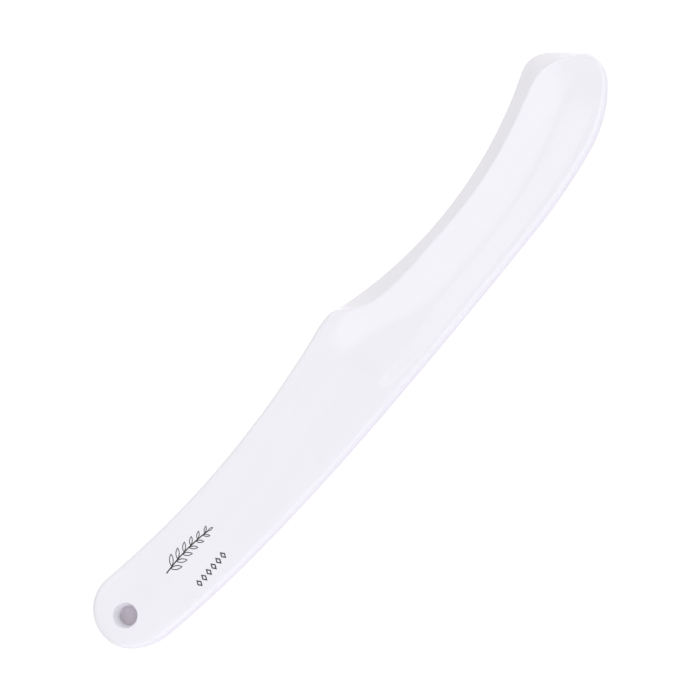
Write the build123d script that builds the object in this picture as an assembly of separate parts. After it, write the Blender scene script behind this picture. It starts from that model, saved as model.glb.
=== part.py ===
from build123d import *
import math
import os

# A one-piece moulded cream spatula: a flat handle with a hanging hole, a blade with a
# bevelled scraping edge and a shallow dished face, and a small print on the handle.
#
# Frame: origin at the centre of the hanging hole on the flat back, +X along the bar to the
# blade's tip, +Y towards the scraping edge, +Z out of the front face. Millimetres.

# Bar
thickness = 4.0
front_edge_radius = 1.2
back_edge_radius = 0.6

# Plan outline. One chain of tangent arcs runs from the knee down the handle, round the butt,
# up the back and round the tip. Each arc is a radius and the degrees that it turns left
knee_corner = (86.0, 9.93)
knee_heading = 190.75
outline_arcs = [
    (227.0, -20.9),   # hollow edge of the handle
    (9.5, 150.0),     # butt
    (16.0, 30.3),
    (307.0, 5.6),     # back of the handle
    (636.0, 3.9),
    (1900.0, 1.7),    # back of the blade
    (136.0, 9.6),
    (32.5, 28.5),
    (7.9, 84.5),      # nose of the tip
    (50.0, 14.2),     # slanting end of the tip
]
blade_hollow = (119.9, 4.2)
knee_radius = 17.0
tip_corner_radius = 6.5

# Scraping bevel: it rises from a thin land at the scraping edge to a rim in the front face,
# starts from nothing at the knee and fades out round the tip
land_height = 0.8
rim_knee_points = [(86.3, 9.8), (87.5, 8.9), (89.6, 6.7), (93.8, 3.7)]
rim_blade_points = [(101.0, 1.8), (111.0, 1.25), (122.0, 1.05), (134.0, 1.6), (146.0, 3.8), (156.0, 6.5),
                    (161.5, 7.6), (166.3, 6.3), (170.4, 3.5), (172.0, 2.2)]
rim_end = (173.2, 1.2)
rim_points = rim_knee_points + rim_blade_points + [rim_end]
bevel_rulings = 36
bevel_overrun = 0.2
bevel_clearance = 15.0

# Dished blade face: a soft off-centre valley between the bevel's rim and a lip along the back.
# A ramp leads down into it at the knee, and it fades out before the tip. Its left side runs a
# little past the rim, and its surface is lifted clear of the front face outside the dish
dish_start = 77.0
dish_end = 172.0
dish_depth = 0.9
dish_ramp = (80.5, 88.5)
dish_fade = (146.0, 171.0)
dish_lift = 0.3
tip_lift = (161.0, 174.0)
rim_overlap = 0.9
valley_softness = 0.22
floor_half_width = 4.5
floor_taper = (85.0, 108.0)
dish_left = [(76.0, 3.5), (86.0, 5.5), (90.0, 6.0), (94.5, 4.2)]
dish_left += [(x, y + rim_overlap) for x, y in rim_blade_points]
dish_valley = [(76.0, -5.0), (88.0, -6.0), (100.0, -7.9), (118.0, -8.4), (134.0, -7.7), (147.0, -5.2), (159.0, -1.3),
               (173.0, 2.5)]
dish_right = [(76.0, -12.4), (88.0, -13.8), (106.0, -13.9), (126.0, -13.6), (144.0, -12.5), (158.0, -9.8),
              (168.0, -5.0), (173.0, -1.5)]
dish_left_margin = 3.0
dish_right_margin = 1.5
dish_rows = 65
dish_columns = 33
dish_height = 4.0
dish_tolerance = 0.004
line_samples = 400

# Hanging hole: a cylindrical land at the back, then a cone that opens to the front
hole_radius = 2.35
hole_land = 1.4
hole_mouth_radius = 3.05

# Witness mark of an ejector pin beside the hole
pin_mark_centre = (6.4, -0.3)
pin_mark_radius = 2.05
pin_mark_depth = 0.08

# Print on the handle: a film of ink, drawn as a leafy sprig over a row of lozenges
ink_thickness = 0.03
sprig_start = (14.2, -1.2)
sprig_end = (28.6, -2.3)
sprig_rise = 0.55
stem_stroke = 0.3
leaf_pairs = 6
leaf_length = 3.1
leaf_shrink = 0.075
leaf_angle = 42.0
leaf_width_share = 0.36
leaf_stroke = 0.2
leaf_point_share = 1.6
leaf_first_share = 0.12
leaf_pitch_share = 0.155
leaf_stagger = 0.02
lozenge_count = 6
lozenge_length = 1.35
lozenge_height = 2.1
lozenge_open_share = 0.5
lozenge_pitch = 1.75
lozenge_row_start = (17.8, -8.85)


def arc_chain(start, heading, arcs):
    """Tangent arcs end to end, each given as a radius and a left turn in degrees."""
    edges = []
    point = Vector(*start)
    for radius, turn in arcs:
        centre = point + Vector(0, math.copysign(radius, turn)).rotate(Axis.Z, heading)
        middle = centre + (point - centre).rotate(Axis.Z, turn / 2)
        end = centre + (point - centre).rotate(Axis.Z, turn)
        edges.append(ThreePointArc(point, middle, end))
        point = end
        heading += turn
    return edges


def plan_outline():
    """The plan of the whole bar, with its knee and its tip corner rounded."""
    edges = arc_chain(knee_corner, knee_heading, outline_arcs)
    tip_corner = edges[-1] @ 1
    edges.append(ThreePointArc(tip_corner, blade_hollow, knee_corner))
    outline = make_face(Wire(edges))
    knee = outline.vertices().sort_by_distance(knee_corner)[0]
    outline = fillet(knee, knee_radius)
    tip = outline.vertices().sort_by_distance(tip_corner)[0]
    return fillet(tip, tip_corner_radius)


def bar_blank(outline):
    """The bar at its full thickness, with its edges rounded."""
    bar = extrude(outline, thickness)
    front_edges = bar.faces().sort_by(Axis.Z)[-1].edges()
    bar = fillet(front_edges, front_edge_radius)
    back_edges = bar.faces().sort_by(Axis.Z)[0].edges()
    return fillet(back_edges, back_edge_radius)


def bevel_cutter(outline):
    """All that lies outside the ruled surface that joins the rim to the top of the land."""
    rim = Spline(rim_points)
    border = outline.wire()
    face = outline.face()
    drop = thickness - land_height
    top = []
    bottom = []
    for i in range(bevel_rulings + 1):
        rim_point = rim @ (i / bevel_rulings)
        foot = border.closest_points(rim_point)[0]
        if not face.is_inside(rim_point):
            foot = rim_point
        run = foot - rim_point
        top.append(rim_point - run * bevel_overrun + Vector(0, 0, thickness + drop * bevel_overrun))
        bottom.append(foot + run * bevel_overrun + Vector(0, 0, land_height - drop * bevel_overrun))
    faces = []
    for ruling_ends in (top, bottom):
        height = Vector(0, 0, ruling_ends[0].Z)
        near = Vector(*knee_corner) + Vector(0, bevel_clearance) + height
        far = Vector(*rim_end) + Vector(bevel_clearance, bevel_clearance) + height
        side = Vector(*rim_end) + Vector(bevel_clearance, 0) + height
        closing = Polyline(ruling_ends[-1], side, far, near, ruling_ends[0])
        faces.append(make_face(Spline(ruling_ends) + closing))
    return loft(faces, ruled=True)


def smooth_step(start, end, x):
    """0 up to the start, 1 from the end on, and an even S between them."""
    t = min(max((x - start) / (end - start), 0.0), 1.0)
    return t * t * (3.0 - 2.0 * t)


def curve_across(points):
    """A function that gives the place across the bar of a curve through the points."""
    curve = Spline(points)
    samples = [curve @ (i / line_samples) for i in range(line_samples + 1)]

    def across(x):
        for first, second in zip(samples, samples[1:]):
            if first.X <= x <= second.X:
                return first.Y + (second.Y - first.Y) * (x - first.X) / (second.X - first.X)
        return samples[0].Y if x < samples[0].X else samples[-1].Y

    return across


def dish_cutter():
    """The dished surface, raised into a block that clears everything above it."""
    left_end = curve_across(dish_left)
    valley_line = curve_across(dish_valley)
    right_end = curve_across(dish_right)
    soft = valley_softness
    rows = []
    for i in range(dish_rows):
        x = dish_start + (dish_end - dish_start) * i / (dish_rows - 1)
        left, valley, right = left_end(x), valley_line(x), right_end(x)
        ramp = smooth_step(*dish_ramp, x)
        depth = dish_depth * ramp * (1.0 - smooth_step(*dish_fade, x))
        lift = dish_lift * (1.0 - ramp + smooth_step(*tip_lift, x))
        floor = floor_half_width * (1.0 - smooth_step(*floor_taper, x))
        width = left + dish_left_margin - right + dish_right_margin
        row = []
        for j in range(dish_columns):
            y = right - dish_right_margin + width * j / (dish_columns - 1)
            side = left - valley if y > valley else valley - right
            away = max(abs(y - valley) - floor, 0.0) / (side - floor)
            share = (math.hypot(away, soft) - soft) / (math.hypot(1.0, soft) - soft)
            row.append(Vector(x, y, thickness - depth * (1.0 - share) + lift))
        rows.append(row)
    surface = Face.make_surface_from_array_of_points(rows, tol=dish_tolerance, min_deg=3, max_deg=5)
    return extrude(surface, dish_height, dir=(0, 0, 1))


def hanging_hole():
    """A pin with a conical head, the shape that the hole leaves."""
    over = 1.0
    cone_height = thickness - hole_land
    flare = (hole_mouth_radius - hole_radius) / cone_height
    top_radius = hole_mouth_radius + flare * over
    corners = [(0, 0, -over), (hole_radius, 0, -over), (hole_radius, 0, hole_land),
               (top_radius, 0, thickness + over), (0, 0, thickness + over)]
    profile = Polyline(*corners, close=True)
    return revolve(make_face(profile), Axis.Z)


def pin_mark():
    """A shallow disc, the shape that the pin's end left."""
    place = Pos(*pin_mark_centre, thickness)
    return place * Cylinder(pin_mark_radius, 2 * pin_mark_depth)


def spatula_body():
    """The whole moulding."""
    outline = plan_outline()
    body = bar_blank(outline)
    body -= bevel_cutter(outline)
    body -= dish_cutter()
    body -= hanging_hole()
    body -= pin_mark()
    return body


def leaf(place, angle, length):
    """An outline-only leaf between two arcs, from its stalk at the place along the angle."""
    width = length * leaf_width_share
    point_stroke = leaf_stroke * leaf_point_share
    outer = lens(length, width)
    inner = Pos(point_stroke, 0) * lens(length - 2 * point_stroke, width - 2 * leaf_stroke)
    return Pos(*place) * Rot(0, 0, angle) * (outer - inner)


def lens(length, width):
    """The shape between two arcs that meet in a point at each end."""
    half = width / 2
    over = ThreePointArc((0, 0), (length / 2, half), (length, 0))
    under = ThreePointArc((length, 0), (length / 2, -half), (0, 0))
    return make_face(over + under)


def printed_sprig():
    """A curved stem with pairs of leaves that get shorter towards a single leaf at the end."""
    half_stroke = stem_stroke / 2
    start, end = sprig_start, sprig_end
    middle = ((start[0] + end[0]) / 2, (start[1] + end[1]) / 2 + sprig_rise)
    stem = ThreePointArc(start, middle, end)
    upper = ThreePointArc(*[(x, y + half_stroke) for x, y in (start, middle, end)])
    lower = ThreePointArc(*[(x, y - half_stroke) for x, y in (end, middle, start)])
    closing = Line(upper @ 1, lower @ 0) + Line(lower @ 1, upper @ 0)
    sprig = make_face(upper + lower + closing)
    for i in range(leaf_pairs):
        share = leaf_first_share + leaf_pitch_share * i
        length = leaf_length * (1.0 - leaf_shrink * i)
        tangent = stem % share
        heading = math.degrees(math.atan2(tangent.Y, tangent.X))
        for side in (1, -1):
            place = stem @ (share + leaf_stagger * side)
            sprig += leaf((place.X, place.Y), heading + side * leaf_angle, length)
    tangent = stem % 1
    heading = math.degrees(math.atan2(tangent.Y, tangent.X))
    place = stem @ (1 - leaf_stagger)
    sprig += leaf((place.X, place.Y), heading, leaf_length * (1.0 - leaf_shrink * leaf_pairs))
    return Pos(0, 0, thickness) * extrude(sprig, ink_thickness)


def printed_lozenges():
    """A row of outlined lozenges under the sprig."""
    row = []
    for i in range(lozenge_count):
        outer = lozenge(lozenge_length, lozenge_height)
        inner = lozenge(lozenge_length * lozenge_open_share, lozenge_height * lozenge_open_share)
        place = Pos(lozenge_row_start[0] + lozenge_pitch * i, lozenge_row_start[1], thickness)
        row.append(place * extrude(outer - inner, ink_thickness))
    return Compound(children=row)


def lozenge(length, height):
    corners = [(length / 2, 0), (0, height / 2), (-length / 2, 0), (0, -height / 2)]
    return make_face(Polyline(*corners, close=True))


os.makedirs("parts", exist_ok=True)
for node in (spatula_body, printed_sprig, printed_lozenges):
    shape = node()
    print(node.__name__, round(shape.volume, 3), "mm3,", len(shape.solids()), "solids, valid:", shape.is_valid)
    export_step(shape, "parts/" + node.__name__ + ".step")
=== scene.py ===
# %% [markdown]
# # A moulded cream spatula
# The tool is one piece of glossy white plastic, about 180 mm long and 4 mm thick. It has a flat
# handle with a hanging hole, and a curved blade with one bevelled edge and a shallow dished face.
# A small dark print sits on the handle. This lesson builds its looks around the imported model.

import math

import bmesh
import bpy
import numpy as np
from mathutils import Matrix, Vector


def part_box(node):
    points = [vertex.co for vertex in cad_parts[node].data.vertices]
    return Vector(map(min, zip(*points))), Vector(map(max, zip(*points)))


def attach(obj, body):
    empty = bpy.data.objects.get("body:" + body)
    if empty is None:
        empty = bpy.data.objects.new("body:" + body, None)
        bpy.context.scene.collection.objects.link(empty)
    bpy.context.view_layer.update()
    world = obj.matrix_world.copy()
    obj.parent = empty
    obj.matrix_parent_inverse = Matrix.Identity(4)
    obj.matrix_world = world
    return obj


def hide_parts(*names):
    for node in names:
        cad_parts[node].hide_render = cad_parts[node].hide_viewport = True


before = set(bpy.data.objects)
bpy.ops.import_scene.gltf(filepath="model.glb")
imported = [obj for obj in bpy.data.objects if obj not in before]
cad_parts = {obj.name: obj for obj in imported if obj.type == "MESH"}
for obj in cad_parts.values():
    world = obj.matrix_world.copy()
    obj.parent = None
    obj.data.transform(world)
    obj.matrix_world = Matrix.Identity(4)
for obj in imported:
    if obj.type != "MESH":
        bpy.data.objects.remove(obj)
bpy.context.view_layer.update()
body_low, body_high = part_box("spatula_body")
print("nodes:", sorted(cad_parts))

# %% [markdown]
# ## Sizes
# The lesson works in millimetres and turns them into metres where a vertex gets its place. The
# origin is the centre of the hanging hole on the back, +X runs to the blade's tip, +Y to the
# scraping edge and +Z out of the front face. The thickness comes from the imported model.

# %% Sizes of the bar, in millimetres
mm = 0.001
thickness = body_high.z / mm
front_round = 1.2
back_round = 0.6

knee_corner = (86.0, 9.93)
knee_heading = 190.75
bar_arcs = [
    (227.0, -20.9),   # hollow edge of the handle
    (9.5, 150.0),     # butt
    (16.0, 30.3),
    (307.0, 5.6),     # back of the handle
    (636.0, 3.9),
    (1900.0, 1.7),    # back of the blade
    (136.0, 9.6),
    (32.5, 28.5),
    (7.9, 84.5),      # nose of the tip
    (50.0, 14.2),     # slanting end of the tip
]
blade_hollow = (119.9, 4.2)
knee_radius = 17.0
tip_corner_radius = 6.5

# %% [markdown]
# ## The outline
# A toolmaker would cut this outline with round cutters, so it is a chain of arcs that run into
# each other without a kink. Each arc is kept as a centre, a radius, a start angle and a turn, and
# a place on the outline is the distance travelled along it. That gives exact points and normals
# for any spacing, which points clicked by eye would not.

# %% Arcs of the outline
def unit(angle):
    return np.array([math.cos(angle), math.sin(angle)])


def angle_of(vector):
    return math.atan2(vector[1], vector[0])


def chain_of_arcs(start, heading, arcs):
    """Tangent arcs end to end, as [centre, radius, start angle, turn], and where they end."""
    point, heading, chain = np.array(start), math.radians(heading), []
    for radius, turn in arcs:
        turn = math.radians(turn)
        centre = point + radius * unit(heading + math.copysign(math.pi / 2, turn))
        first = angle_of(point - centre)
        chain.append([centre, radius, first, turn])
        point = centre + radius * unit(first + turn)
        heading += turn
    return chain, point


def arc_through(start, middle, end):
    """The arc through three points that turns to the right, as the hollow blade edge does."""
    start, middle, end = (np.array(p, float) for p in (start, middle, end))
    rows = 2.0 * np.array([middle - start, end - start])
    centre = np.linalg.solve(rows, [middle @ middle - start @ start, end @ end - start @ start])
    first, last = angle_of(start - centre), angle_of(end - centre)
    turn = (last - first) % (2 * math.pi) - 2 * math.pi
    return [centre, float(np.linalg.norm(start - centre)), first, turn]


def round_corner(before, after, radius, corner):
    """Shortens two arcs that meet in a corner and returns the small arc that joins them."""
    centres = [before[0], after[0]]
    reaches = [arc[1] - math.copysign(radius, arc[3]) for arc in (before, after)]
    between = centres[1] - centres[0]
    span = np.linalg.norm(between)
    along = (span ** 2 + reaches[0] ** 2 - reaches[1] ** 2) / (2 * span)
    aside = math.sqrt(reaches[0] ** 2 - along ** 2)
    across = np.array([-between[1], between[0]]) / span
    choices = [centres[0] + along * between / span + side * aside * across for side in (1, -1)]
    centre = min(choices, key=lambda c: np.linalg.norm(c - np.array(corner)))
    touches = [c + arc[1] * (centre - c) / np.linalg.norm(centre - c)
               for c, arc in zip(centres, (before, after))]
    before_end = angle_of(touches[0] - before[0])
    before[3] += (before_end - (before[2] + before[3]) + math.pi) % (2 * math.pi) - math.pi
    after_start = angle_of(touches[1] - after[0])
    cut = (after_start - after[2] + math.pi) % (2 * math.pi) - math.pi
    after[2] += cut
    after[3] -= cut
    first, last = angle_of(touches[0] - centre), angle_of(touches[1] - centre)
    return [centre, radius, first, (last - first) % (2 * math.pi)]


handle_and_back, tip_corner = chain_of_arcs(knee_corner, knee_heading, bar_arcs)
blade_edge = arc_through(tip_corner, blade_hollow, knee_corner)
tip_round = round_corner(handle_and_back[-1], blade_edge, tip_corner_radius, tip_corner)
knee_round = round_corner(blade_edge, handle_and_back[0], knee_radius, knee_corner)
outline = handle_and_back + [tip_round, blade_edge, knee_round]
ends = np.concatenate([[0.0], np.cumsum([radius * abs(turn) for _, radius, _, turn in outline])])
print("outline length in mm:", round(ends[-1], 2))
print("turns in all:", round(math.degrees(sum(arc[3] for arc in outline)), 2))

# %% [markdown]
# ## A place on the outline
# Everything that follows asks the outline the same question: where is it after so many
# millimetres, and which way is inward there. One function answers it for many places at once, and
# a fine row of such places serves wherever the nearest one has to be found.

# %% A place on the outline
fine_step = 0.1


def on_outline(travel):
    """Points and inward normals at distances travelled along the outline."""
    travel = np.mod(np.atleast_1d(np.asarray(travel, float)), ends[-1])
    which = np.clip(np.searchsorted(ends, travel, side="right") - 1, 0, len(outline) - 1)
    centres = np.array([arc[0] for arc in outline])[which]
    radii, firsts, turns = (np.array([arc[k] for arc in outline])[which] for k in (1, 2, 3))
    side = np.sign(turns)
    angle = firsts + side * (travel - ends[which]) / radii
    out = np.stack([np.cos(angle), np.sin(angle)], axis=1)
    return centres + radii[:, None] * out, -side[:, None] * out


fine = np.arange(0.0, ends[-1], fine_step)
fine_points, fine_inward = on_outline(fine)
print("outline box in mm:", fine_points.min(0).round(2), fine_points.max(0).round(2))

# %% [markdown]
# ## The bevel
# The scraping edge is cut back from the front face, so that only a thin land is left. The line
# where the cut meets the face is the rim. It starts from nothing at the knee and fades out round
# the tip. For each place on the outline the run is how far the rim stands inside it.

# %% Rim of the bevel and its run
land_height = 0.8
rim_samples = 800
rim_points = [
    (86.3, 9.8), (87.5, 8.9), (89.6, 6.7), (93.8, 3.7), (101.0, 1.8), (111.0, 1.25), (122.0, 1.05),
    (134.0, 1.6), (146.0, 3.8), (156.0, 6.5), (161.5, 7.6), (166.3, 6.3), (170.4, 3.5),
    (172.0, 2.2), (173.2, 1.2),
]


def smooth_line(points):
    """The place across the bar as a smooth function of the place along it."""
    x, y = np.array(points).T
    step, size = np.diff(x), len(x)
    rise = np.diff(y) / step
    system, pull = np.eye(size), np.zeros(size)
    for k in range(1, size - 1):
        system[k, k - 1:k + 2] = step[k - 1], 2 * (step[k - 1] + step[k]), step[k]
        pull[k] = 6 * (rise[k] - rise[k - 1])
    bend = np.linalg.solve(system, pull)

    def line(at):
        at = np.clip(at, x[0], x[-1])
        k = np.clip(np.searchsorted(x, at) - 1, 0, size - 2)
        to_next, gone, h = x[k + 1] - at, at - x[k], step[k]
        curved = (bend[k] * to_next ** 3 + bend[k + 1] * gone ** 3) / (6 * h)
        near, far = y[k] / h - bend[k] * h / 6, y[k + 1] / h - bend[k + 1] * h / 6
        return curved + near * to_next + far * gone

    return line


rim_line = smooth_line(rim_points)
rim_x = np.linspace(rim_points[0][0], rim_points[-1][0], rim_samples)
rim = np.stack([rim_x, rim_line(rim_x)], axis=1)
nearest = np.array([np.argmin(((fine_points - p) ** 2).sum(1)) for p in rim])
offset = rim - fine_points[nearest]
inward = fine_inward[nearest]
forward = np.stack([inward[:, 1], -inward[:, 0]], axis=1)
rim_travel = fine[nearest] + (offset * forward).sum(1)
rim_run = (offset * inward).sum(1)
order = np.argsort(rim_travel)
rim_travel, rim_run = rim_travel[order], np.maximum(rim_run[order], 0.0)


def bevel_run(travel):
    return np.interp(np.mod(travel, ends[-1]), rim_travel, rim_run, left=0.0, right=0.0)


print("widest bevel in mm:", round(float(rim_run.max()), 2))


# %% [markdown]
# ## Section of the flank
# Seen in section, the flank rounds over from the front face, or follows the bevel down to the
# land, and rounds under to the back. One function gives how far it stands inside the outline at a
# height, and a soft maximum lets the rounded edge run into the bevel without a seam.

# %% Section of the flank
rim_softness = 0.12
rim_roll_height = 0.1
edge_softness = 0.12
land_softness = 0.02
full_softness_run = 1.0   # a narrower bevel is softened less


def smooth_step(start, end, at):
    t = np.clip((at - start) / (end - start), 0.0, 1.0)
    return t * t * (3.0 - 2.0 * t)


def round_over(depth_in, radius):
    """How far a rounded edge stands in, at a distance beyond the start of its round."""
    reach = np.clip(depth_in / radius, 0.0, 1.0)
    return radius * (1.0 - math.sqrt(1.0 - reach * reach))


def flank_inset(height, run):
    """How far the flank stands inside the outline at a height, for a run of the bevel."""
    over = round_over(height - (thickness - front_round), front_round)
    under = round_over(back_round - height, back_round)
    climb = (height - land_height) / (thickness - land_height)
    climb = 0.5 * (climb + math.sqrt(climb * climb + land_softness ** 2))
    grown = np.minimum(run / full_softness_run, 1.0)
    top_share = max((height - thickness + rim_roll_height) / rim_roll_height, 0.0)
    cut = run * climb + rim_softness * grown * top_share ** 2
    soft = edge_softness * grown
    return 0.5 * (over + cut + np.sqrt((over - cut) ** 2 + soft ** 2)) + under


def flank_point(travel, height):
    points, inward = on_outline(travel)
    return points + inward * flank_inset(height, bevel_run(travel))[:, None]


# %% [markdown]
# ## The dished face
# The blade's front is a shallow trough with a soft, off-centre valley. On one side it climbs to
# the bevel's rim, and on the other to a lip just inside the back. A short ramp leads into it at
# the knee, and it fades out before the tip. Thick plastic also sinks a little as it cools, so the
# handle's middle lies a tenth of a millimetre low. The face also rolls down round the butt.

# %% Lines of the trough
dish_depth = 0.9
dish_ramp = (78.5, 86.0)
dish_fade = (159.0, 172.0)
valley_softness = 0.12
lip_softness = 0.05
floor_half_width = 4.5
floor_taper = (85.0, 108.0)
dish_left_end = 96.0
sink_depth = 0.1
sink_start = (31.0, 44.0)
sink_end = (76.0, 86.0)
roll_depth = 0.12
roll_reach = 2.4
roll_fade = (3.0, 16.0)
dish_left = smooth_line([(76.0, 3.5), (82.0, 4.7), (86.0, 5.5), (90.0, 6.0), (94.5, 4.2),
                         (101.0, 2.7)])
dish_valley = smooth_line([(76.0, -5.0), (88.0, -6.0), (100.0, -7.9), (118.0, -8.4), (134.0, -7.7),
                           (147.0, -5.2), (159.0, -1.3), (173.0, 2.5)])
dish_lip = smooth_line([(76.0, -12.4), (88.0, -13.8), (106.0, -13.9), (126.0, -13.6), (144.0, -12.5),
                        (158.0, -9.8), (168.0, -5.0), (173.0, -1.5)])


def handle_drop(x, y, top, bottom):
    """How far the thick middle of the handle has sunk, for a vertex between the two edges."""
    across = 2.0 * (y - bottom) / (top - bottom) - 1.0
    along = smooth_step(*sink_start, x) * (1.0 - smooth_step(*sink_end, x))
    return sink_depth * along * np.maximum(1.0 - across ** 2, 0.0) ** 2


def butt_roll(x, inside):
    """How far the face rolls down round the butt, at a distance inside the face's border."""
    near = np.clip(1.0 - inside / roll_reach, 0.0, 1.0)
    return roll_depth * near ** 2 * (1.0 - smooth_step(*roll_fade, x))


def climb_share(away):
    """How much of the way up a side of the trough has climbed, with a soft start at the valley."""
    lost = math.hypot(1.0, valley_softness) - valley_softness
    return (np.hypot(away, valley_softness) - valley_softness) / lost


def dish_drop(x, y, column_x, top):
    """How far the face lies under the flat front, for a vertex in a column that ends at the rim."""
    left = np.where(column_x < dish_left_end, np.minimum(dish_left(column_x), top), top)
    valley, lip = dish_valley(column_x), dish_lip(column_x)
    floor = floor_half_width * (1.0 - smooth_step(*floor_taper, column_x))
    side = np.where(y > valley, left - valley, valley - lip)
    away = np.maximum(np.abs(y - valley) - floor, 0.0) / (side - floor)
    below = 1.0 - climb_share(away)
    below = 0.5 * (below + np.sqrt(below ** 2 + lip_softness ** 2))
    depth = dish_depth * smooth_step(*dish_ramp, x) * (1.0 - smooth_step(*dish_fade, x))
    return depth * below


# %% [markdown]
# ## The blank
# The front face starts as a grid. Its rows run along the bar, so that on the blade one row lies
# on the valley and one on the lip, and highlights stay clean. Its border lies on the top edge of
# the flank. Four places on the outline part the border into two long sides and two ends.

# %% Rows and columns of the front face
columns, rows = 240, 40
rows_to_valley, rows_to_lip = 22, 36
rows_part = (60.0, 80.0)
rows_join = (158.0, 170.0)
end_reach = 36
travel_samples = 4000
butt_corner_share = 1.0 / 3.0
side_start = ends[1] + butt_corner_share * (ends[2] - ends[1])
butt_end, nose_start, nose_end = ends[2], ends[8], ends[10]


def travel_at(places, start, end):
    """Where the outline reaches the given places along the bar, on one of its long sides."""
    travel = np.linspace(start, end, travel_samples)
    x = on_outline(travel)[0][:, 0]
    if x[0] > x[-1]:
        travel, x = travel[::-1], x[::-1]
    return np.interp(places, x, travel)


def even(start, end, count):
    """Evenly spaced places along the bar between two distances travelled."""
    first, last = on_outline([start, end])[0][:, 0]
    return np.linspace(first, last, count + 1)


edge_side = travel_at(even(side_start, nose_end, columns), nose_end, side_start + ends[-1])
back_side = travel_at(even(butt_end, nose_start, columns), butt_end, nose_start)
butt_side = np.linspace(side_start, butt_end, rows + 1)
nose_side = np.linspace(nose_end, nose_start, rows + 1)
top = flank_point(edge_side, thickness)
bottom = flank_point(back_side, thickness)
butt = flank_point(butt_side, thickness)
nose = flank_point(nose_side, thickness)
print("columns every", round(float(np.diff(top[:, 0]).mean()), 2), "mm")


# %% Places of the face's vertices
def face_places():
    """Plan places and heights of the grid, as [column, row] arrays."""
    column_x = 0.5 * (top[:, 0] + bottom[:, 0])
    blade = smooth_step(*rows_part, column_x) * (1.0 - smooth_step(*rows_join, column_x))
    span = top[:, 1] - bottom[:, 1]
    valley = (top[:, 1] - dish_valley(column_x)) / span
    lip = (top[:, 1] - dish_lip(column_x)) / span
    level = np.arange(rows + 1)
    knots = (0, rows_to_valley, rows_to_lip, rows)
    shares = np.array([
        (1 - b) * level / rows + b * np.interp(level, knots, (0, v, e, 1))
        for b, v, e in zip(blade, valley, lip)
    ])
    straight = top[:, None] + (bottom - top)[:, None] * shares[:, :, None]
    place = straight.copy()
    for end, side in ((0, butt), (columns, nose)):
        bulge = side - straight[end]
        for k in range(end_reach):
            fade = (1.0 - k / end_reach) ** 2 * (1.0 + 2.0 * k / end_reach)
            place[abs(end - k)] += bulge * fade
    drop = dish_drop(place[:, :, 0], straight[:, :, 1], column_x[:, None], top[:, None, 1])
    drop = drop + handle_drop(place[:, :, 0], straight[:, :, 1], top[:, None, 1], bottom[:, None, 1])
    drop[:, 0] = drop[:, -1] = drop[0] = drop[-1] = 0.0
    rolls = place[:, :, 0] < roll_fade[1]
    border = flank_point(fine, thickness)
    border = border[border[:, 0] < roll_fade[1] + roll_reach]
    inside = np.linalg.norm(place[rolls][:, None] - border, axis=2).min(axis=1)
    drop[rolls] += butt_roll(place[rolls][:, 0], inside)
    return place, thickness - drop

# %% [markdown]
# ## The front face
# The blank's face is one grid whose vertices move to their places. A vertex on the border keeps
# the distance along the outline as an attribute, since the flank needs it ring after ring.

# %% The front face
def clear_selection():
    bpy.ops.object.select_all(action="DESELECT")


clear_selection()
bpy.ops.mesh.primitive_grid_add(x_subdivisions=columns, y_subdivisions=rows, size=1.0)
body = bpy.context.object
body.name = body.data.name = "moulded_body"
place, height = face_places()
travel = body.data.attributes.new("travel", "FLOAT", "POINT")
for vertex, mark in zip(body.data.vertices, travel.data):
    i = round((vertex.co.x + 0.5) * columns)
    j = round((0.5 - vertex.co.y) * rows)
    mark.value = -1.0
    if j in (0, rows):
        mark.value = (edge_side if j == 0 else back_side)[i] % ends[-1]
    elif i in (0, columns):
        mark.value = (butt_side if i == 0 else nose_side)[j]
    vertex.co = (place[i, j, 0] * mm, place[i, j, 1] * mm, height[i, j] * mm)
print("front face:", len(body.data.polygons), "quads")

# %% [markdown]
# ## The flank
# The border of the face is extruded down the flank, one ring for each height of the section. The
# rings are close where the edges round over and wide on the straight part. The rings near the
# front follow the roll of the face round the butt.

# %% Rings down the flank
front_turns = (76, 62, 48, 34, 20, 8, 0)
straight_heights = (2.2, 1.6, 1.2, 0.95, 0.8, 0.7, 0.6)
back_turns = (20, 40, 60, 78, 90)
roll_foot = 2.2
ring_heights = [thickness - front_round + front_round * math.sin(math.radians(a)) for a in front_turns]
ring_heights += list(straight_heights)
ring_heights += [back_round * (1.0 - math.sin(math.radians(a))) for a in back_turns]


def place_ring(mesh, layer, ring_height):
    """Moves the selected border vertices to their places at a height of the flank."""
    ring = [v for v in mesh.verts if v.select and v[layer] >= 0.0]
    places = flank_point([v[layer] for v in ring], ring_height)
    roll_share = max((ring_height - roll_foot) / (thickness - roll_foot), 0.0)
    for vertex, (x, y) in zip(ring, places):
        vertex.co = (x * mm, y * mm, (ring_height - roll_share * butt_roll(x, 0.0)) * mm)
    return len(ring)


bpy.ops.object.mode_set(mode="EDIT")
bpy.ops.mesh.select_mode(type="EDGE")
bpy.ops.mesh.select_all(action="DESELECT")
bpy.ops.mesh.select_non_manifold()
for ring_height in ring_heights:
    bpy.ops.mesh.extrude_edges_move()
    mesh = bmesh.from_edit_mesh(body.data)
    count = place_ring(mesh, mesh.verts.layers.float["travel"], ring_height)
    bmesh.update_edit_mesh(body.data)
print(len(ring_heights), "rings of", count, "vertices")

# %% [markdown]
# ## The flat back
# The back lay on the flat half of the mould, so it has no shape of its own. It is a copy of the
# face, pressed flat, drawn in to the last ring and turned over. Welding its border to that ring
# closes the blank.

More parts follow.
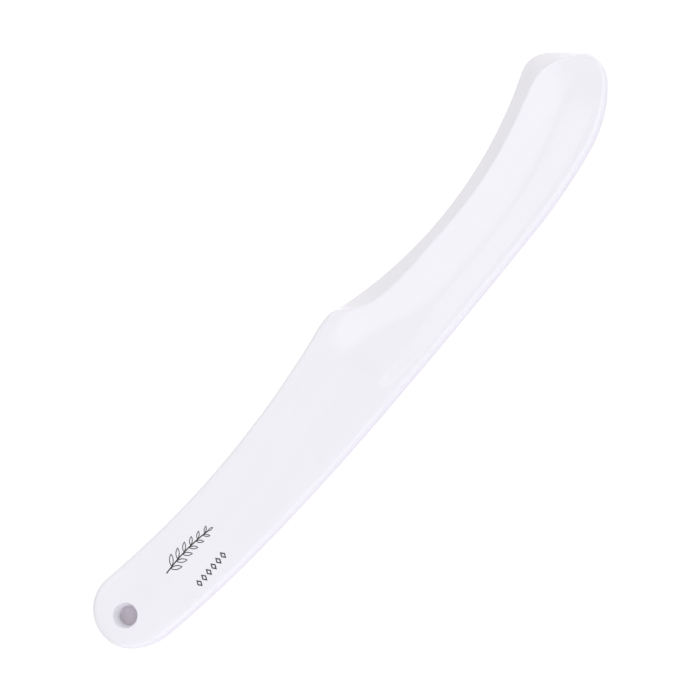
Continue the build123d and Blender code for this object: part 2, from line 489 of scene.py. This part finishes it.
# %% The flat back
weld_distance = 0.002
bpy.ops.mesh.select_mode(type="FACE")
bpy.ops.mesh.select_all(action="DESELECT")
mesh = bmesh.from_edit_mesh(body.data)
mesh.faces.ensure_lookup_table()
for face in mesh.faces[:columns * rows]:
    face.select_set(True)
bmesh.update_edit_mesh(body.data)
bpy.ops.mesh.duplicate()
mesh = bmesh.from_edit_mesh(body.data)
for vertex in mesh.verts:
    if vertex.select:
        vertex.co.z = 0.0
place_ring(mesh, mesh.verts.layers.float["travel"], 0.0)
bmesh.update_edit_mesh(body.data)
bpy.ops.mesh.flip_normals()
bpy.ops.mesh.select_all(action="SELECT")
bpy.ops.mesh.remove_doubles(threshold=weld_distance * mm)
bpy.ops.mesh.normals_make_consistent(inside=False)
bpy.ops.object.mode_set(mode="OBJECT")
print("closed blank:", len(body.data.vertices), "vertices")

# %% [markdown]
# ## The hanging hole and the pin mark
# The hole is a short cylinder at the back that opens as a cone to the front, so that the mould's
# core pulls out. A cutter of that shape is made from a cylinder by extruding its top face, and a
# boolean takes it out of the blank. The pin that pushed the moulding out left a faint round mark,
# a little deeper on one side because the pin stood a hair askew.

# %% Cutters for the hole and the mark
hole_radius = 2.35
hole_land = 1.4
hole_mouth = 3.05
hole_start = -1.0
hole_lip = [(-0.18, -0.03), (-0.08, 0.0), (-0.02, 0.06), (0.03, 0.17), (0.5, 0.3)]   # up, out
hole_facets = 96
mark_centre = Vector((6.4, -0.3, thickness))
mark_radius = 2.05
mark_wall = [(-0.08, -0.08), (-0.02, 0.0), (0.3, 0.1)]   # up, out
mark_tilt = math.radians(1.6)
mark_tilt_axis = (0.3, 1.0, 0.0)
mark_facets = 64
facing_up = 0.9


def turned_cutter(name, profile, facets):
    """A solid of revolution about Z, from a cylinder whose top face is extruded up a profile."""
    clear_selection()
    (low, radius), (high, _) = profile[:2]
    bpy.ops.mesh.primitive_cylinder_add(vertices=facets, radius=radius * mm, depth=(high - low) * mm,
                                        location=(0, 0, 0.5 * (low + high) * mm))
    cutter = bpy.context.object
    cutter.name = name
    bpy.ops.object.transform_apply(location=True, rotation=False, scale=False)
    bpy.ops.object.mode_set(mode="EDIT")
    bpy.ops.mesh.select_mode(type="FACE")
    bpy.ops.mesh.select_all(action="DESELECT")
    mesh = bmesh.from_edit_mesh(cutter.data)
    for face in mesh.faces:
        face.select_set(face.normal.z > facing_up)
    bmesh.update_edit_mesh(cutter.data)
    for (height, radius), (next_height, next_radius) in zip(profile[1:], profile[2:]):
        rise = (next_height - height) * mm
        bpy.ops.mesh.extrude_region_move(TRANSFORM_OT_translate={"value": (0, 0, rise)})
        grow = next_radius / radius
        bpy.ops.transform.resize(value=(grow, grow, 1.0), center_override=(0.0, 0.0, 0.0))
    bpy.ops.object.mode_set(mode="OBJECT")
    return cutter


def cut(piece, cutter):
    """Takes a cutter out of a piece and removes the cutter."""
    clear_selection()
    bpy.context.view_layer.objects.active = piece
    piece.select_set(True)
    boolean = piece.modifiers.new("cut", "BOOLEAN")
    boolean.object = cutter
    boolean.operation = "DIFFERENCE"
    boolean.solver = "EXACT"
    bpy.ops.object.modifier_apply(modifier=boolean.name)
    bpy.data.objects.remove(cutter)


hole_profile = [(hole_start, hole_radius), (hole_land, hole_radius)]
hole_profile += [(thickness + up, hole_mouth + out) for up, out in hole_lip]
cut(body, turned_cutter("hole_cutter", hole_profile, hole_facets))

mark_profile = [(up, mark_radius + out) for up, out in mark_wall]
mark_cutter = turned_cutter("mark_cutter", mark_profile, mark_facets)
mark_turn = Matrix.Rotation(mark_tilt, 4, mark_tilt_axis)
mark_cutter.data.transform(Matrix.Translation(mark_centre * mm) @ mark_turn)
cut(body, mark_cutter)
print("body after its cuts:", len(body.data.vertices), "vertices")

# %% [markdown]
# ## Smooth shading
# Nearly every edge of the moulding is rounded, so faces that meet at less than a set angle are
# shaded as one, and only sharper edges such as the hole's back mouth stay hard. The large faces
# lead, so that the small ones of the rounded edges don't dent the shading beside them.

# %% Smooth shading
smooth_angle = math.radians(35.0)
clear_selection()
bpy.context.view_layer.objects.active = body
body.select_set(True)
bpy.ops.object.shade_smooth_by_angle(angle=smooth_angle)
weighted = body.modifiers.new("flat faces lead", "WEIGHTED_NORMAL")
weighted.keep_sharp = True
bpy.ops.object.modifier_apply(modifier=weighted.name)
body.data.attributes.remove(body.data.attributes["travel"])
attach(body, "root")
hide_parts("spatula_body")

# %% [markdown]
# ## Noise and finishes
# Both finishes are built the same way: noise on the piece's own coordinates is mapped to a range
# of colour, gloss or relief. These few helpers make the nodes, so that each finish reads as a
# short list of what varies and by how much.

# %% Node helpers
def add_node(tree, kind, **settings):
    node = tree.nodes.new(kind)
    for name, value in settings.items():
        if name in node.inputs:
            node.inputs[name].default_value = value
        else:
            setattr(node, name, value)
    return node


def noise(tree, place, stretch, scale, detail=3.0, roughness=0.5):
    """Noise on the piece's own coordinates, stretched so that it runs along one axis."""
    mapping = add_node(tree, "ShaderNodeMapping", Scale=stretch)
    texture = add_node(tree, "ShaderNodeTexNoise", Scale=scale, Detail=detail, Roughness=roughness)
    tree.links.new(place, mapping.inputs["Vector"])
    tree.links.new(mapping.outputs["Vector"], texture.inputs["Vector"])
    return texture.outputs["Fac"]


def spread(tree, value, low, high, from_low=0.3, from_high=0.7):
    """Maps a noise to a range of values."""
    node = add_node(tree, "ShaderNodeMapRange")
    for name, number in (("From Min", from_low), ("From Max", from_high), ("To Min", low), ("To Max", high)):
        node.inputs[name].default_value = number
    tree.links.new(value, node.inputs["Value"])
    return node.outputs["Result"]


def new_material(name):
    material = bpy.data.materials.new(name)
    material.use_nodes = True
    tree = material.node_tree
    shader = tree.nodes["Principled BSDF"]
    place = add_node(tree, "ShaderNodeTexCoord").outputs["Object"]
    return material, tree, shader, place


# %% [markdown]
# ## White plastic
# The moulding is glossy polypropylene or polystyrene, white with a cool cast. Up close it isn't
# even: the melt left long faint streaks along the handle, the gloss wavers a little, and the odd
# fine speck is caught in it. All of it is built from noise on the piece's own coordinates.

# %% The plastic
white_low = (0.838, 0.836, 0.873, 1.0)
white_high = (0.854, 0.852, 0.889, 1.0)
speck_grey = (0.68, 0.67, 0.70, 1.0)
speck_size = 0.012
plastic_ior = 1.49
plastic_gloss = (0.12, 0.18)


def white_plastic():
    material, tree, shader, place = new_material("white_plastic")
    shader.inputs["IOR"].default_value = plastic_ior
    streaks = noise(tree, place, (0.06, 1.0, 1.0), 420.0, detail=4.0)
    clouds = noise(tree, place, (0.5, 1.0, 1.0), 110.0, detail=2.0)
    tint = add_node(tree, "ShaderNodeMix", data_type="RGBA")
    tint.inputs["A"].default_value = white_low
    tint.inputs["B"].default_value = white_high
    both = add_node(tree, "ShaderNodeMath", operation="ADD")
    tree.links.new(spread(tree, streaks, 0.0, 0.5), both.inputs[0])
    tree.links.new(spread(tree, clouds, 0.0, 0.5), both.inputs[1])
    tree.links.new(both.outputs[0], tint.inputs["Factor"])
    cells = add_node(tree, "ShaderNodeTexVoronoi", Scale=95.0)
    tree.links.new(place, cells.inputs["Vector"])
    speck = add_node(tree, "ShaderNodeMath", operation="LESS_THAN")
    tree.links.new(cells.outputs["Distance"], speck.inputs[0])
    speck.inputs[1].default_value = speck_size
    dirt = add_node(tree, "ShaderNodeMix", data_type="RGBA")
    tree.links.new(speck.outputs[0], dirt.inputs["Factor"])
    tree.links.new(tint.outputs["Result"], dirt.inputs["A"])
    dirt.inputs["B"].default_value = speck_grey
    tree.links.new(dirt.outputs["Result"], shader.inputs["Base Color"])
    waver = noise(tree, place, (0.3, 1.0, 1.0), 260.0)
    tree.links.new(spread(tree, waver, *plastic_gloss), shader.inputs["Roughness"])
    skin = noise(tree, place, (1.0, 1.0, 1.0), 900.0, detail=2.0)
    relief = add_node(tree, "ShaderNodeMath", operation="ADD")
    tree.links.new(spread(tree, streaks, 0.0, 1.0), relief.inputs[0])
    tree.links.new(spread(tree, skin, 0.0, 0.35), relief.inputs[1])
    bump = add_node(tree, "ShaderNodeBump", Strength=0.12, Distance=0.00004)
    tree.links.new(relief.outputs[0], bump.inputs["Height"])
    tree.links.new(bump.outputs["Normal"], shader.inputs["Normal"])
    return material


body.data.materials.clear()
body.data.materials.append(white_plastic())

# %% [markdown]
# ## The print
# A pad presses the mark on as a thin film of dark ink, so it is almost black, a little brown
# where it is thin, and less glossy than the plastic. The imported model's own prints are the right
# shape, so they stay and only get this finish.

# %% The ink
ink_dark = (0.010, 0.008, 0.008, 1.0)
ink_thin = (0.045, 0.036, 0.033, 1.0)
ink_gloss = (0.42, 0.62)


def print_ink():
    material, tree, shader, place = new_material("print_ink")
    blots = noise(tree, place, (1.0, 1.0, 1.0), 1400.0, detail=4.0)
    tint = add_node(tree, "ShaderNodeMix", data_type="RGBA")
    tint.inputs["A"].default_value = ink_dark
    tint.inputs["B"].default_value = ink_thin
    tree.links.new(spread(tree, blots, 0.0, 1.0), tint.inputs["Factor"])
    tree.links.new(tint.outputs["Result"], shader.inputs["Base Color"])
    tree.links.new(spread(tree, blots, *ink_gloss), shader.inputs["Roughness"])
    bump = add_node(tree, "ShaderNodeBump", Strength=0.2, Distance=0.00001)
    tree.links.new(blots, bump.inputs["Height"])
    tree.links.new(bump.outputs["Normal"], shader.inputs["Normal"])
    return material


ink = print_ink()
for name in ("printed_sprig", "printed_lozenges"):
    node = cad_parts[name]
    node.data.materials.clear()
    node.data.materials.append(ink)

# %% [markdown]
# ## The floor
# The tool lies on a plain white floor. The floor glows by itself, so that it stays an even white,
# and the plastic neither sees it nor takes light from it: the room's own lower part stands in for
# what a floor would throw back.

# %% The floor
floor_width = 6.0
floor_gap = 0.02
floor_place = (0.08, 0.0, -floor_gap * mm)
floor_grey = (0.2, 0.2, 0.2)
floor_glow = 0.92
paper_roughness = 0.9


def paper(name, colour, glow):
    """A matt paper that may glow by itself."""
    material, _, shader, _ = new_material(name)
    shader.inputs["Base Color"].default_value = (*colour, 1.0)
    shader.inputs["Roughness"].default_value = paper_roughness
    shader.inputs["Specular IOR Level"].default_value = 0.0
    shader.inputs["Emission Color"].default_value = (1.0, 1.0, 1.0, 1.0)
    shader.inputs["Emission Strength"].default_value = glow
    return material


clear_selection()
bpy.ops.mesh.primitive_plane_add(size=floor_width, location=floor_place)
floor = bpy.context.object
floor.name = "floor"
floor.data.materials.append(paper("white_paper", floor_grey, floor_glow))
floor.visible_diffuse = False
floor.visible_glossy = False

# %% [markdown]
# ## Painted shade under the hole
# A hole over a white floor would be as bright as the plastic round it. A grey card lies under the
# hanging hole as painted shade, in place of the shade the tool would throw there, so that it reads
# as a hole. It is part of the scene and not of the tool, and the tool covers all of it but the part
# that shows through.

# %% The painted shade under the hole
hole_shade_radius = 4.5
hole_shade_facets = 48
hole_shade_place = (0.0, 0.0, -0.5 * floor_gap * mm)
# painted shade: this grey stands in for the shade seen through the hole
hole_shade_grey = (0.62, 0.57, 0.63)
bpy.ops.mesh.primitive_circle_add(vertices=hole_shade_facets, radius=hole_shade_radius * mm, fill_type="NGON",
                                  location=hole_shade_place)
hole_shade_card = bpy.context.object
hole_shade_card.name = "painted_hole_shade"
hole_shade_card.data.materials.append(paper("painted_shade_paper", hole_shade_grey, 0.0))

# %% [markdown]
# ## Light from the room
# Glossy plastic shows the room it lies in, so the light is the room itself. It is a soft studio:
# a big box on the right, a strip on the left of a darker gap overhead, and floors that glow. The
# room is divided by the turn about the bar, where 0 degrees is straight overhead, minus is the
# right and plus is the left. It is graded once more along the bar: beyond the butt the right is
# brighter and the left darker, and beyond the tip the gap is darkest.

# %% Light from the room
turns_overhead = (-90, -62, -38, -18, 5, 24, 50, 66, 90)   # where one glow gives way to the next
ramp_softness = 2.0
gap_zone = 5
butt_side_light = (-0.30, -0.20)
tip_side_light = (0.12, 0.20)
near_glow = [
    (0.93, 0.88, 0.96),   # the floor on the right
    (0.62, 0.60, 0.67),   # low on the right
    (1.38, 1.36, 1.41),   # the big box on the right
    (1.03, 1.03, 1.03),
    (1.26, 1.25, 1.26),
    (0.46, 0.45, 0.46),   # the gap overhead
    (1.86, 1.85, 1.87),   # the strip left of the gap
    (0.64, 0.62, 0.60),
    (1.10, 1.06, 1.07),   # low on the left
    (1.23, 1.20, 1.22),   # the floor on the left
]
butt_glow = near_glow[:2] + [
    (1.95, 1.95, 2.05),
    (2.25, 2.25, 2.35),
    (1.10, 1.10, 1.10),
    (0.40, 0.40, 0.40),
    (0.20, 0.20, 0.20),
    (0.20, 0.20, 0.20),
    (0.10, 0.10, 0.10),
    (0.90, 0.90, 0.90),
]
tip_glow = list(near_glow)
tip_glow[gap_zone] = (0.05, 0.05, 0.05)


def light_ramp(tree, turn, glows):
    """The room's light by the turn about the bar from straight overhead, in degrees."""
    ramp = add_node(tree, "ShaderNodeValToRGB")
    stops = ramp.color_ramp.elements
    stops[0].color = (*glows[0], 1.0)
    stops[1].color = (*glows[-1], 1.0)
    for edge, before, after in zip(turns_overhead, glows, glows[1:]):
        for place, glow in ((edge - ramp_softness, before), (edge + ramp_softness, after)):
            stops.new((place + 180.0) / 360.0).color = (*glow, 1.0)
    tree.links.new(turn, ramp.inputs["Fac"])
    return ramp.outputs["Color"]


scene = bpy.context.scene
scene.view_settings.view_transform = "Standard"
world = bpy.data.worlds.new("soft_room")
world.use_nodes = True
room = world.node_tree
way = add_node(room, "ShaderNodeSeparateXYZ")
room.links.new(add_node(room, "ShaderNodeTexCoord").outputs["Generated"], way.inputs["Vector"])
turn = add_node(room, "ShaderNodeMath", operation="ARCTAN2")
room.links.new(way.outputs["Y"], turn.inputs[0])
room.links.new(way.outputs["Z"], turn.inputs[1])
turn = spread(room, turn.outputs["Value"], 0.0, 1.0, -math.pi, math.pi)
light = light_ramp(room, turn, butt_glow)
for glows, (start, end) in ((near_glow, butt_side_light), (tip_glow, tip_side_light)):
    walls = add_node(room, "ShaderNodeMix", data_type="RGBA")
    room.links.new(spread(room, way.outputs["X"], 0.0, 1.0, start, end), walls.inputs["Factor"])
    room.links.new(light, walls.inputs["A"])
    room.links.new(light_ramp(room, turn, glows), walls.inputs["B"])
    light = walls.outputs["Result"]
room.links.new(light, room.nodes["Background"].inputs["Color"])
scene.world = world

# %% [markdown]
# ## The camera
# The camera stands 600 mm away, almost straight above, with a long lens, and is rolled so that
# the bar runs across the square view from the lower left to the upper right.

# %% The camera
camera_distance = 0.6
camera_target = Vector((82.86, 0.5, 0.0))
camera_azimuth = math.radians(14.93)
camera_elevation = math.radians(76.57)
camera_roll = math.radians(64.53)
camera_lens = 129.65
level_reach = math.cos(camera_elevation)
back = Vector((math.sin(camera_azimuth) * level_reach, -math.cos(camera_azimuth) * level_reach,
               math.sin(camera_elevation)))
camera_data = bpy.data.cameras.new("camera")
camera_data.lens = camera_lens
camera = bpy.data.objects.new("camera", camera_data)
scene.collection.objects.link(camera)
camera.location = camera_target * mm + back * camera_distance
camera.rotation_mode = "QUATERNION"
level = (-back).to_track_quat("-Z", "Y")
camera.rotation_quaternion = level @ Matrix.Rotation(-camera_roll, 3, "Z").to_quaternion()
camera_data.dof.use_dof = False
scene.camera = camera
